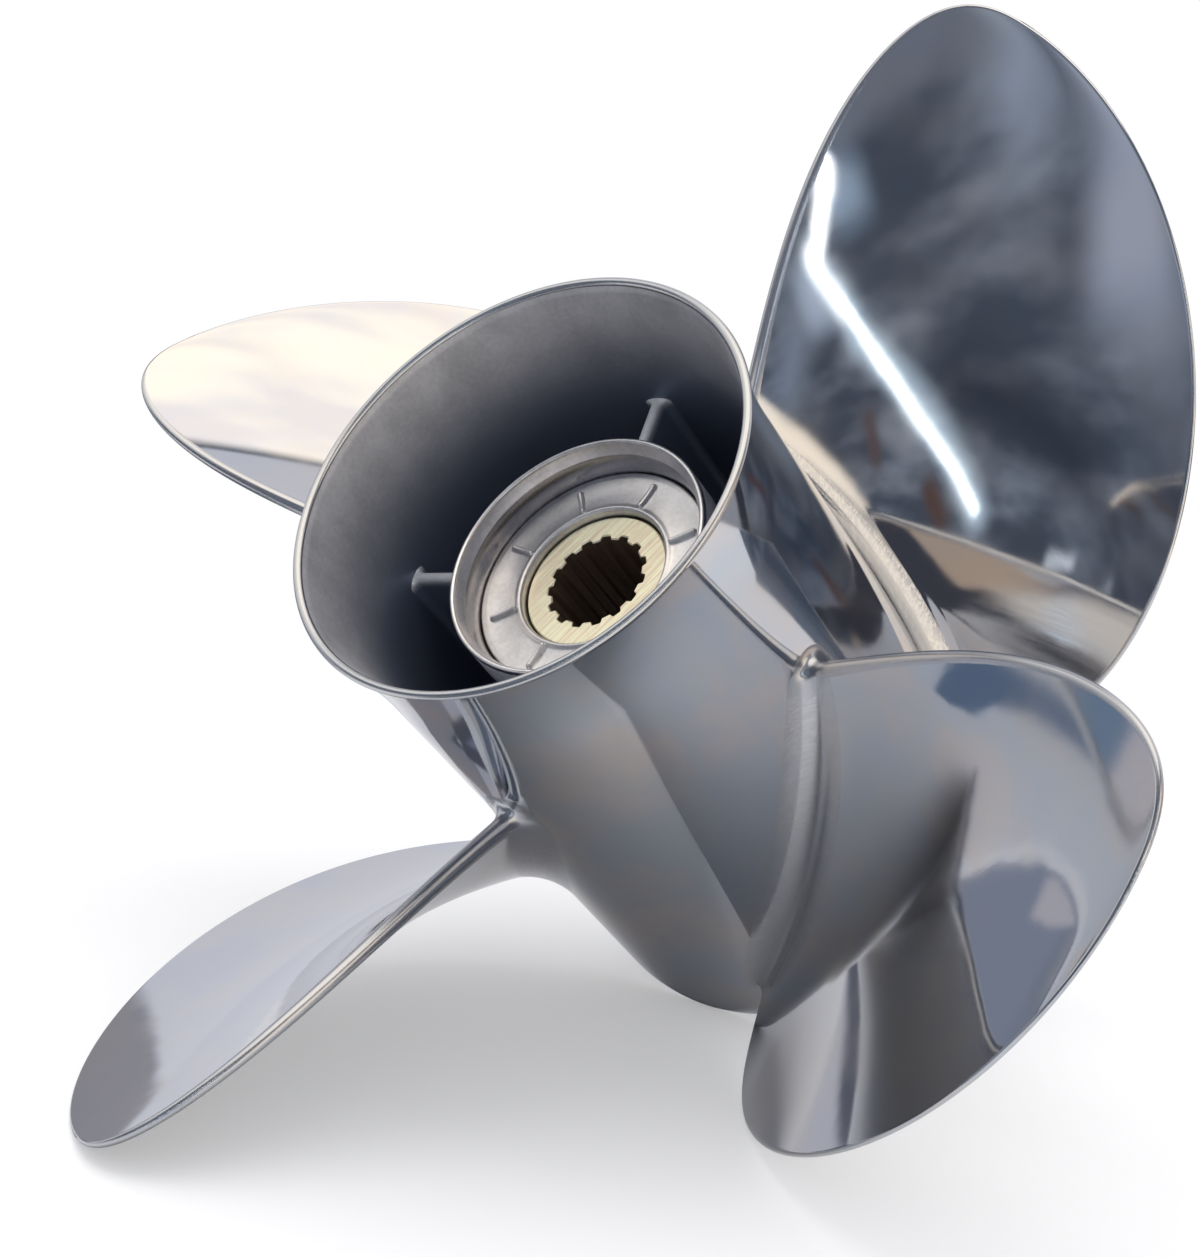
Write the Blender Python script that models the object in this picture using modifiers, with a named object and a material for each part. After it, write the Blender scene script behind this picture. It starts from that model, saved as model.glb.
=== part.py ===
"""Four-blade, right-hand outboard boat propeller with its exhaust led out through the barrel.

The propeller lies as it would on a table: on the front edge of the barrel and on two blades.
Everything is modelled in the shaft's own frame, with +Z pointing aft and the flared rim at
zero, and two empties then turn and lean the whole propeller onto the floor.
"""

import math

import bmesh
import bpy
import numpy as np
from mathutils import Vector

# Barrel, from the flared rim (station 0) forward to the open front end
RIM_RADIUS = 0.05775
BARREL_RADIUS = 0.0540
BARREL_BORE = 0.0512
BARREL_LENGTH = 0.1580
LIP_RADIUS = 0.0555
OUTER_FLARE_DEPTH = 0.026
INNER_FLARE_DEPTH = 0.042
FRONT_EDGE_RADIUS = 0.0523
FRONT_ROUNDING = 0.0090

# Blades
BLADE_COUNT = 4
TIP_RADIUS = 0.17055
PITCH = 0.5135
PITCH_GROWTH = 0.208
PITCH_RADIUS = 0.100
RAKE_SLOPE = 0.338
FACE_STATION = -0.1513
TIP_ANGLE_DEG = 45.0
TRAILING_SWEEP_DEG = (32.3, -46.8, 71.0, -58.2, 12.3)
LEADING_SWEEP_DEG = (-44.6, -35.0, 32.6, -59.3, 56.8)
ROOT_THICKNESS = 0.0085
TIP_THICKNESS = 0.0022
LEADING_THICKNESS = 0.0012
TRAILING_THICKNESS = 0.0046
FACE_HOLLOW = 0.0018
ROOT_FILLET = 0.0090
END_FILLET_SHARE = 0.45
EDGE_ROUNDING = 0.0004
ROOT_OVERLAP = 0.0040
BLADE_ROWS = 18
CHORD_POINTS = 17

# Inner hub, its webs, and the bush that carries the shaft splines
HUB_RADIUS = 0.0329
HUB_AFT = -0.0290
HUB_FRONT = -0.1500
HUB_MOUTH = 0.0316
HUB_BORE = 0.0287
HUB_COLLAR_BORE = 0.0220
COLLAR_DEPTH = 0.0320
SEAT_STATION = -0.0384
WEB_COUNT = 4
WEB_ANGLE_DEG = 70.0
WEB_THICKNESS = 0.0032
WEB_AFT = -0.0375
WEB_FRONT = -0.1430
END_RING_THICKNESS = 0.0030
RIDGE_COUNT = 8
RIDGE_ANGLE_DEG = 7.0
RIDGE_INNER = 0.0203
RIDGE_OUTER = 0.0262
RIDGE_WIDTH = 0.0011
RIDGE_HEIGHT = 0.0008
BUSH_RADIUS = 0.0181
BUSH_AFT = -0.0402
BUSH_FRONT = -0.1120
SPLINE_COUNT = 15
SPLINE_MAJOR = 0.0128
SPLINE_MINOR = 0.01165
GAP = 0.0003

# How the propeller lies: turned about its shaft, then leaned over
SHAFT_TURN_DEG = 32.28
SHAFT_LEAN_DEG = 48.00

ROUND_STEPS = 64


def clear_scene():
    """Remove whatever the file holds, so that the script starts from nothing."""
    for obj in list(bpy.data.objects):
        bpy.data.objects.remove(obj, do_unlink=True)


def new_collection(name):
    """Make a collection in the scene."""
    collection = bpy.data.collections.new(name)
    bpy.context.scene.collection.children.link(collection)
    return collection


def make_material(name, colour, roughness, metallic):
    """Make a plain Principled material."""
    material = bpy.data.materials.new(name)
    material.use_nodes = True
    shader = material.node_tree.nodes["Principled BSDF"]
    shader.inputs["Base Color"].default_value = (*colour, 1.0)
    shader.inputs["Roughness"].default_value = roughness
    shader.inputs["Metallic"].default_value = metallic
    material.diffuse_color = (*colour, 1.0)
    return material


def add_mesh_object(name, mesh, collection, material, parent):
    """Put a mesh into the scene as a named, smooth-shaded object of the propeller."""
    obj = bpy.data.objects.new(name, mesh)
    obj.data.materials.append(material)
    obj.parent = parent
    collection.objects.link(obj)
    mesh.shade_smooth()
    mesh.set_sharp_from_angle(angle=math.radians(35))
    return obj


def turned(name, profile, collection, material, parent, steps=ROUND_STEPS):
    """Turn a closed profile of (radius, station) points about the shaft."""
    mesh = bpy.data.meshes.new(name)
    points = [(radius, 0.0, station) for radius, station in profile]
    edges = [(i, (i + 1) % len(points)) for i in range(len(points))]
    mesh.from_pydata(points, edges, [])
    obj = bpy.data.objects.new(name, mesh)
    obj.data.materials.append(material)
    obj.parent = parent
    collection.objects.link(obj)
    screw = obj.modifiers.new("turn", "SCREW")
    screw.axis = "Z"
    screw.angle = math.tau
    screw.steps = steps
    screw.render_steps = steps
    screw.use_merge_vertices = True
    screw.merge_threshold = 0.00001
    screw.use_smooth_shade = True
    return obj


def flare_outside(depth):
    """Outer radius of the barrel at a depth forward of the rim."""
    part = max(0.0, 1.0 - depth / OUTER_FLARE_DEPTH)
    return BARREL_RADIUS + (RIM_RADIUS - 0.0004 - BARREL_RADIUS) * part**2


def flare_inside(depth):
    """Inner radius of the barrel at a depth forward of the rim."""
    part = max(0.0, 1.0 - depth / INNER_FLARE_DEPTH)
    return BARREL_BORE + (LIP_RADIUS - BARREL_BORE) * part**2


def barrel_profile():
    """Closed profile of the barrel: down the outside from the rim, then back up the bore."""
    lip_middle = (RIM_RADIUS + LIP_RADIUS) / 2
    lip_half = (RIM_RADIUS - LIP_RADIUS) / 2
    profile = []
    for angle in (90, 60, 30, 0):
        turn = math.radians(angle)
        profile.append((lip_middle + lip_half * math.cos(turn), lip_half * (math.sin(turn) - 1)))
    for depth in (0.004, 0.008, 0.013, 0.019, OUTER_FLARE_DEPTH):
        profile.append((flare_outside(depth), -depth))
    front_start = BARREL_LENGTH - FRONT_ROUNDING
    for share in (0.0, 0.35, 0.7, 1.0):
        drop = (BARREL_RADIUS - FRONT_EDGE_RADIUS) * share**2
        profile.append((BARREL_RADIUS - drop, -front_start - FRONT_ROUNDING * share))
    profile.append((BARREL_BORE + 0.0002, -BARREL_LENGTH))
    profile.append((BARREL_BORE, -BARREL_LENGTH + 0.0010))
    for depth in (INNER_FLARE_DEPTH, 0.031, 0.022, 0.014, 0.008, 0.004):
        profile.append((flare_inside(depth), -depth))
    for angle in (180, 150, 120):
        turn = math.radians(angle)
        profile.append((lip_middle + lip_half * math.cos(turn), lip_half * (math.sin(turn) - 1)))
    return profile


def hub_profile():
    """Closed profile of the inner hub, which holds the bush behind a collar at its front."""
    return [
        (HUB_RADIUS - 0.0004, HUB_AFT),
        (HUB_RADIUS, HUB_AFT - 0.0005),
        (HUB_RADIUS, HUB_FRONT + 0.0020),
        (HUB_RADIUS - 0.0015, HUB_FRONT),
        (HUB_COLLAR_BORE + 0.0020, HUB_FRONT),
        (HUB_COLLAR_BORE, HUB_FRONT + 0.0030),
        (HUB_COLLAR_BORE, HUB_FRONT + COLLAR_DEPTH),
        (HUB_BORE, HUB_FRONT + COLLAR_DEPTH + 0.0010),
        (HUB_BORE, SEAT_STATION),
        (HUB_BORE + 0.0012, SEAT_STATION + 0.0020),
        (HUB_MOUTH - 0.0002, HUB_AFT - 0.0012),
        (HUB_MOUTH, HUB_AFT - 0.0004),
        (HUB_MOUTH + 0.0003, HUB_AFT),
    ]


def edge_angle(sweep, place):
    """Angle of a blade edge, in radians, where place runs from 0 at the tip to 1 at the hub."""
    degrees = sum(c * place ** (power + 1) for power, c in enumerate(sweep))
    return math.radians(TIP_ANGLE_DEG + degrees)


def pitch_at(radius):
    """Pitch of the driving face, which grows a little towards the tip."""
    return PITCH + PITCH_GROWTH * (radius - PITCH_RADIUS)


def face_station(radius, angle):
    """Station of the driving face: a helix, raked aft towards the tip."""
    return FACE_STATION + RAKE_SLOPE * radius + pitch_at(radius) * angle / math.tau


def fillet_offset(radius, fillet):
    """How far a root fillet of this size stands out from a blade at this radius."""
    height = max(0.0, radius - BARREL_RADIUS - GAP)
    if height >= fillet:
        return 0.0
    return fillet - math.sqrt(fillet**2 - (fillet - height) ** 2)


def blade_thickness(radius, chord):
    """Thickness at a radius, where chord runs from 0 at the leading to 1 at the trailing edge."""
    span = (radius - BARREL_RADIUS) / (TIP_RADIUS - BARREL_RADIUS)
    span = min(1.0, max(0.0, span))
    middle = ROOT_THICKNESS + (TIP_THICKNESS - ROOT_THICKNESS) * span**0.75
    leading = LEADING_THICKNESS
    trailing = TRAILING_THICKNESS + (TIP_THICKNESS - TRAILING_THICKNESS) * span
    ends = leading + (trailing - leading) * chord
    swell = (4 * chord * (1 - chord)) ** 0.8
    return ends + max(0.0, middle - ends) * swell


def chord_places(length, rounding):
    """Distances along a section, which runs on past both edges by the rounding there."""
    places = [-rounding, -rounding * 0.7]
    for i in range(CHORD_POINTS):
        places.append(length * (0.5 - 0.5 * math.cos(math.pi * i / (CHORD_POINTS - 1))))
    return places + [length + rounding * 0.7, length + rounding]


def blade_section(radius, place):
    """One closed section of a blade, laid on the cylinder of this radius."""
    leading = edge_angle(LEADING_SWEEP_DEG, place)
    trailing = edge_angle(TRAILING_SWEEP_DEG, place)
    slope = math.atan2(pitch_at(radius) / math.tau, radius)
    length = radius * (trailing - leading) / math.cos(slope)
    rounding = EDGE_ROUNDING + fillet_offset(radius, ROOT_FILLET * END_FILLET_SHARE)
    hollow = FACE_HOLLOW * min(1.0, place * 1.2)
    face = []
    back = []
    for along in chord_places(length, rounding):
        chord = min(1.0, max(0.0, along / length))
        bulge = 4 * chord * (1 - chord)
        beyond = max(0.0, -along, along - length)
        size = ROOT_FILLET * (END_FILLET_SHARE + (1 - END_FILLET_SHARE) * math.sqrt(bulge))
        swell = EDGE_ROUNDING + fillet_offset(radius, size)
        if beyond > 0.0:
            swell = math.sqrt(max(0.0, rounding**2 - beyond**2))
        angle = leading + (trailing - leading) * along / length
        station = face_station(radius, angle)
        thick = blade_thickness(radius, chord) - EDGE_ROUNDING
        for side, offset in (
            (face, swell - EDGE_ROUNDING - hollow * bulge),
            (back, -thick - swell),
        ):
            turn = angle - offset * math.sin(slope) / radius
            place_aft = station + offset * math.cos(slope)
            side.append(Vector((radius * math.cos(turn), radius * math.sin(turn), place_aft)))
    return face + back[::-1]


def blade_radii():
    """Radii of the sections: close together in the root fillet and towards the tip."""
    root = BARREL_RADIUS + GAP
    radii = [root - ROOT_OVERLAP]
    radii += [root + ROOT_FILLET * share for share in (0.0, 0.08, 0.25, 0.55)]
    outer_root = root + ROOT_FILLET
    for i in range(BLADE_ROWS):
        place = 1.0 - i / (BLADE_ROWS - 0.6)
        radii.append(TIP_RADIUS - (TIP_RADIUS - outer_root) * place**2)
    return radii


def blade_mesh():
    """Loft a blade through its sections, and close it at the root and at the tip."""
    bm = bmesh.new()
    rings = []
    for radius in blade_radii():
        place = math.sqrt((TIP_RADIUS - radius) / (TIP_RADIUS - RIM_RADIUS))
        rings.append([bm.verts.new(point) for point in blade_section(radius, place)])
    count = len(rings[0])
    for lower, upper in zip(rings, rings[1:]):
        for i in range(count):
            j = (i + 1) % count
            bm.faces.new((lower[i], lower[j], upper[j], upper[i]))
    for ring in (rings[0], rings[-1]):
        for i in range(count // 2 - 1):
            bm.faces.new((ring[i], ring[i + 1], ring[count - 2 - i], ring[count - 1 - i]))
    bmesh.ops.recalc_face_normals(bm, faces=bm.faces)
    bmesh.ops.triangulate(bm, faces=bm.faces)
    mesh = bpy.data.meshes.new("blade")
    bm.to_mesh(mesh)
    bm.free()
    return mesh


def build_blades(collection, cutters, material, parent):
    """Place the four blades, the first at the upper right as seen from aft, then clockwise."""
    bm = bmesh.new()
    radius = (BARREL_RADIUS + GAP) / math.cos(math.pi / ROUND_STEPS)
    bmesh.ops.create_cone(
        bm, cap_ends=True, segments=ROUND_STEPS, radius1=radius, radius2=radius, depth=0.3
    )
    bmesh.ops.translate(bm, vec=(0.0, 0.0, -BARREL_LENGTH / 2), verts=bm.verts)
    clearance_mesh = bpy.data.meshes.new("barrel_clearance")
    bm.to_mesh(clearance_mesh)
    bm.free()
    clearance = add_mesh_object("barrel_clearance", clearance_mesh, cutters, material, parent)
    clearance.hide_render = True
    clearance.display_type = "WIRE"
    mesh = blade_mesh()
    for i in range(BLADE_COUNT):
        blade = add_mesh_object(f"blade_{i + 1}", mesh, collection, material, parent)
        blade.rotation_euler = (0.0, 0.0, -math.tau * i / BLADE_COUNT)
        cut = blade.modifiers.new("barrel_clearance", "BOOLEAN")
        cut.operation = "DIFFERENCE"
        cut.solver = "EXACT"
        cut.object = clearance


def build_webs(collection, material, parent):
    """Stand the webs between the inner hub and the barrel, along the exhaust passages."""
    inner = HUB_RADIUS + GAP
    outer = BARREL_BORE - GAP - 0.0001
    for i in range(WEB_COUNT):
        bm = bmesh.new()
        bmesh.ops.create_cube(bm, size=1.0)
        bmesh.ops.scale(bm, vec=(outer - inner, WEB_THICKNESS, WEB_AFT - WEB_FRONT), verts=bm.verts)
        bmesh.ops.translate(bm, vec=((inner + outer) / 2, 0, (WEB_AFT + WEB_FRONT) / 2), verts=bm.verts)
        mesh = bpy.data.meshes.new(f"web_{i + 1}")
        bm.to_mesh(mesh)
        bm.free()
        web = add_mesh_object(f"web_{i + 1}", mesh, collection, material, parent)
        web.rotation_euler = (0.0, 0.0, math.radians(WEB_ANGLE_DEG) + math.tau * i / WEB_COUNT)


def build_end_ring(collection, cutters, material, parent):
    """Turn the flat ring round the bush and join its short raised ridges to it."""
    inner = BUSH_RADIUS + GAP
    outer = HUB_BORE - GAP
    bottom = SEAT_STATION - END_RING_THICKNESS
    profile = [
        (outer, SEAT_STATION),
        (outer, bottom),
        (inner, bottom),
        (inner, SEAT_STATION),
    ]
    ring = turned("bush_end_ring", profile, collection, material, parent)
    for i in range(RIDGE_COUNT):
        bm = bmesh.new()
        bmesh.ops.create_cube(bm, size=1.0)
        height = RIDGE_HEIGHT + 0.001
        bmesh.ops.scale(bm, vec=(RIDGE_OUTER - RIDGE_INNER, RIDGE_WIDTH, height), verts=bm.verts)
        centre = ((RIDGE_INNER + RIDGE_OUTER) / 2, 0, SEAT_STATION + RIDGE_HEIGHT - height / 2)
        bmesh.ops.translate(bm, vec=centre, verts=bm.verts)
        mesh = bpy.data.meshes.new(f"ridge_{i + 1}")
        bm.to_mesh(mesh)
        bm.free()
        ridge = add_mesh_object(f"ridge_{i + 1}", mesh, cutters, material, parent)
        ridge.rotation_euler = (0.0, 0.0, math.radians(RIDGE_ANGLE_DEG) + math.tau * i / RIDGE_COUNT)
        ridge.hide_render = True
        ridge.display_type = "WIRE"
        join = ring.modifiers.new(f"ridge_{i + 1}", "BOOLEAN")
        join.operation = "UNION"
        join.solver = "EXACT"
        join.object = ridge


def build_rubber(collection, material, parent):
    """Turn the rubber sleeve between the bush and the inner hub."""
    inner = BUSH_RADIUS + GAP
    outer = HUB_BORE - GAP
    aft = SEAT_STATION - END_RING_THICKNESS - GAP
    front = HUB_FRONT + COLLAR_DEPTH + 0.0010 + GAP
    profile = [(outer, aft), (outer, front), (inner, front), (inner, aft)]
    turned("rubber_sleeve", profile, collection, material, parent)


def spline_outline():
    """Points of the splined bore: fifteen round-cornered grooves between narrow teeth."""
    steps = 8
    points = []
    for i in range(SPLINE_COUNT * steps):
        share = (i % steps) / steps
        angle = math.tau * i / (SPLINE_COUNT * steps)
        radius = SPLINE_MAJOR if share in (0.0, 0.125, 0.25, 0.375, 0.5) else SPLINE_MINOR
        if share in (0.0, 0.5):
            radius = SPLINE_MAJOR - 0.0002
        points.append((radius * math.cos(angle), radius * math.sin(angle)))
    return points


def build_spline_bush(collection, material, parent):
    """Extrude the bush from its flat outline: a round outside and a splined bore."""
    curve = bpy.data.curves.new("spline_bush", "CURVE")
    curve.dimensions = "2D"
    curve.fill_mode = "BOTH"
    curve.extrude = (BUSH_AFT - BUSH_FRONT) / 2
    rim = [math.tau * i / ROUND_STEPS for i in range(ROUND_STEPS)]
    outside = [(BUSH_RADIUS * math.cos(angle), BUSH_RADIUS * math.sin(angle)) for angle in rim]
    for points in (outside, spline_outline()):
        spline = curve.splines.new("POLY")
        spline.points.add(len(points) - 1)
        spline.use_cyclic_u = True
        for point, place in zip(spline.points, points):
            point.co = (*place, 0.0, 1.0)
    obj = bpy.data.objects.new("spline_bush", curve)
    obj.data.materials.append(material)
    obj.parent = parent
    obj.location = (0.0, 0.0, (BUSH_AFT + BUSH_FRONT) / 2)
    collection.objects.link(obj)


def world_corners(collection):
    """Lowest and highest coordinates of the collection's objects, as the modifiers leave them."""
    bpy.context.view_layer.update()
    graph = bpy.context.evaluated_depsgraph_get()
    low = np.full(3, np.inf)
    high = np.full(3, -np.inf)
    for obj in collection.objects:
        if obj.type == "EMPTY":
            continue
        evaluated = obj.evaluated_get(graph)
        mesh = evaluated.to_mesh()
        points = np.array([evaluated.matrix_world @ vertex.co for vertex in mesh.vertices])
        evaluated.to_mesh_clear()
        low = np.minimum(low, points.min(axis=0))
        high = np.maximum(high, points.max(axis=0))
    return low, high


def main():
    """Build the propeller and lay it on the floor with the middle of its footprint at zero."""
    clear_scene()
    parts = new_collection("propeller")
    cutters = new_collection("helpers")
    resting = bpy.data.objects.new("resting_lean", None)
    resting.rotation_euler = (math.radians(SHAFT_LEAN_DEG), 0.0, 0.0)
    shaft = bpy.data.objects.new("shaft_axis", None)
    shaft.rotation_euler = (0.0, 0.0, math.radians(SHAFT_TURN_DEG))
    shaft.parent = resting
    for empty in (resting, shaft):
        parts.objects.link(empty)

    polished = make_material("polished_steel", (0.42, 0.44, 0.48), 0.12, 1.0)
    cast = make_material("cast_steel", (0.36, 0.36, 0.37), 0.45, 1.0)
    machined = make_material("machined_steel", (0.55, 0.54, 0.53), 0.3, 1.0)
    brass = make_material("filed_brass", (0.72, 0.6, 0.36), 0.4, 1.0)
    rubber = make_material("black_rubber", (0.02, 0.02, 0.02), 0.8, 0.0)

    turned("barrel", barrel_profile(), parts, polished, shaft)
    build_blades(parts, cutters, polished, shaft)
    turned("inner_hub", hub_profile(), parts, machined, shaft)
    build_webs(parts, cast, shaft)
    build_end_ring(parts, cutters, machined, shaft)
    build_rubber(parts, rubber, shaft)
    build_spline_bush(parts, brass, shaft)

    low, high = world_corners(parts)
    resting.location = (-(low[0] + high[0]) / 2, -(low[1] + high[1]) / 2, -low[2])


main()
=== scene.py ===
"""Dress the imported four-blade propeller in polished steel, with a machined hub and a brass bush.

The casting's surfaces are laid out in the shaft's own frame, with +Z pointing aft and the flared
rim at zero. One matrix then turns and leans each piece onto the floor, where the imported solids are.
"""

import logging
import math
from dataclasses import dataclass, field
from enum import Enum

import bmesh
import bpy
import numpy as np
from mathutils import Matrix, Vector


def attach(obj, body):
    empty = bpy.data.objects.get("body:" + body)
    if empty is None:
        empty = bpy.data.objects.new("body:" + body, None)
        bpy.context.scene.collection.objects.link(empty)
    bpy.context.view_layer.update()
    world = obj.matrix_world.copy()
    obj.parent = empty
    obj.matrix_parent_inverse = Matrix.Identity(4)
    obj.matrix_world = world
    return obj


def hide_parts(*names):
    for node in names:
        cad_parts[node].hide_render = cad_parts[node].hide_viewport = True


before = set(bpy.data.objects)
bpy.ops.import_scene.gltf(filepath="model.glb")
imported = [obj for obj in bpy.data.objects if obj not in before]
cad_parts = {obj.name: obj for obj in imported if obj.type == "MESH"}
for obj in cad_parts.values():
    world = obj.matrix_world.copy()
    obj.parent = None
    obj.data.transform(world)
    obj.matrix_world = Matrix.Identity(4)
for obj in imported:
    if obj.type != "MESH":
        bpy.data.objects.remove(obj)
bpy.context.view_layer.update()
LOG = logging.getLogger("propeller")

# point attributes: the place in the shaft's frame, and how far the steel is only ground
SHAFT_PLACE = "shaft_place"
GROUND_SHARE = "ground_share"


class Slot(Enum):
    """The record's material slot names for the modelled pieces; this script does not use them."""

    POLISHED = "polished_steel"
    CAST = "cast_steel"
    MACHINED = "machined_steel"
    BRASS = "filed_brass"


class Seen(Enum):
    """Which mirror images show a panel: all of them, only direct ones, or only repeated ones."""

    ALWAYS = "always"
    DIRECTLY = "directly"
    AGAIN = "again"


@dataclass(frozen=True)
class RestingPlace:
    """How the propeller lies: turned about its shaft, leaned over and set on the floor."""

    turn_deg: float = 32.28
    lean_deg: float = 48.00
    rim_centre: tuple[float, float, float] = (0.0, -0.029058, 0.144576)

    def matrix(self) -> Matrix:
        """Return the matrix that takes the shaft's frame to the floor's frame."""
        lean = Matrix.Rotation(math.radians(self.lean_deg), 4, "X")
        turn = Matrix.Rotation(math.radians(self.turn_deg), 4, "Z")
        return Matrix.Translation(self.rim_centre) @ lean @ turn


# Meshes


@dataclass
class Sheetwork:
    """Collects grids of points in the shaft's frame and welds them into one mesh."""

    name: str
    points: list[np.ndarray] = field(default_factory=list)
    faces: list[tuple[int, ...]] = field(default_factory=list)
    finishes: list[int] = field(default_factory=list)
    places: list[np.ndarray] = field(default_factory=list)
    grounds: list[np.ndarray] = field(default_factory=list)
    used: int = 0

    def grid(
        self,
        points: np.ndarray,
        closed_rows: bool = False,
        closed_columns: bool = False,
        finish: int | np.ndarray = 0,
        ground: float | np.ndarray = 0.0,
        marked_at: np.ndarray | None = None,
    ) -> None:
        """Add a grid of quads.

        Args:
            points: Array of (rows, columns, 3).
            closed_rows: Whether the last row joins the first.
            closed_columns: Whether the last column joins the first.
            finish: Index of the material, or one index for each row of faces.
            ground: How far the surface is only ground and not polished, from 0 to 1.
            marked_at: Places that the finish's marks are laid out by, if not the points.
        """
        rows, columns = points.shape[:2]
        index = np.arange(rows * columns).reshape(rows, columns) + self.used
        if closed_rows:
            index = np.concatenate([index, index[:1]], axis=0)
        if closed_columns:
            index = np.concatenate([index, index[:, :1]], axis=1)
        quads = np.stack(
            [index[:-1, :-1], index[:-1, 1:], index[1:, 1:], index[1:, :-1]], axis=-1
        )
        marks = np.broadcast_to(np.asarray(finish).reshape(-1, 1), quads.shape[:2])
        self.points.append(points.reshape(-1, 3))
        self.faces.extend(map(tuple, quads.reshape(-1, 4).tolist()))
        self.finishes.extend(marks.reshape(-1).tolist())
        self.places.append((points if marked_at is None else marked_at).reshape(-1, 3))
        self.grounds.append(np.broadcast_to(ground, (rows, columns)).reshape(-1))
        self.used += rows * columns

    def build(
        self,
        place: Matrix,
        materials: list[bpy.types.Material],
        weld: float = 1e-6,
        sharp_deg: float = 60.0,
    ) -> bpy.types.Object:
        """Make the object.

        Args:
            place: Matrix from the shaft's frame to the floor's frame.
            materials: Finishes, in the order of the faces' indices.
            weld: Distance under which points become one.
            sharp_deg: Edges bent by more than this stay sharp.

        Returns:
            The new object, linked to the scene.
        """
        mesh = bpy.data.meshes.new(self.name)
        points = np.concatenate(self.points)
        mesh.from_pydata(points.tolist(), [], self.faces)
        mesh.polygons.foreach_set("material_index", self.finishes)
        own_place = mesh.attributes.new(SHAFT_PLACE, "FLOAT_VECTOR", "POINT")
        own_place.data.foreach_set("vector", np.concatenate(self.places).ravel())
        ground = mesh.attributes.new(GROUND_SHARE, "FLOAT", "POINT")
        ground.data.foreach_set("value", np.concatenate(self.grounds))
        mesh.transform(place)
        bm = bmesh.new()
        bm.from_mesh(mesh)
        bmesh.ops.remove_doubles(bm, verts=bm.verts, dist=weld)
        bmesh.ops.dissolve_degenerate(bm, edges=bm.edges, dist=weld)
        bmesh.ops.recalc_face_normals(bm, faces=bm.faces)
        bm.to_mesh(mesh)
        bm.free()
        mesh.shade_smooth()
        mesh.set_sharp_from_angle(angle=math.radians(sharp_deg))
        for material in materials:
            mesh.materials.append(material)
        obj = bpy.data.objects.new(self.name, mesh)
        bpy.context.scene.collection.objects.link(obj)
        return obj


def turned(profile: np.ndarray, steps: int) -> np.ndarray:
    """Turn a profile about the shaft.

    Args:
        profile: Array of (radius, station) points.
        steps: Number of points round the shaft.

    Returns:
        Array of (profile points, steps, 3).
    """
    angle = np.arange(steps) * math.tau / steps
    radius = profile[:, :1]
    station = np.broadcast_to(profile[:, 1:2], (len(profile), steps))
    return np.stack([radius * np.cos(angle), radius * np.sin(angle), station], axis=-1)


def arc(
    centre: tuple[float, float], radius: float, start_deg: float, end_deg: float, count: int
) -> np.ndarray:
    """Lay out an arc in a profile.

    Args:
        centre: Its centre, as (radius, station).
        radius: Its own radius.
        start_deg: Angle of its first point.
        end_deg: Angle of its last point.
        count: Number of points.

    Returns:
        Array of (radius, station) points.
    """
    angle = np.radians(np.linspace(start_deg, end_deg, count))
    return np.stack(
        [centre[0] + radius * np.cos(angle), centre[1] + radius * np.sin(angle)], axis=-1
    )


def smooth_step(value: np.ndarray) -> np.ndarray:
    """Return a smooth rise from 0 to 1 as the value goes from 0 to 1."""
    value = np.clip(value, 0.0, 1.0)
    return value * value * (3 - 2 * value)


# Shader building


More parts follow.
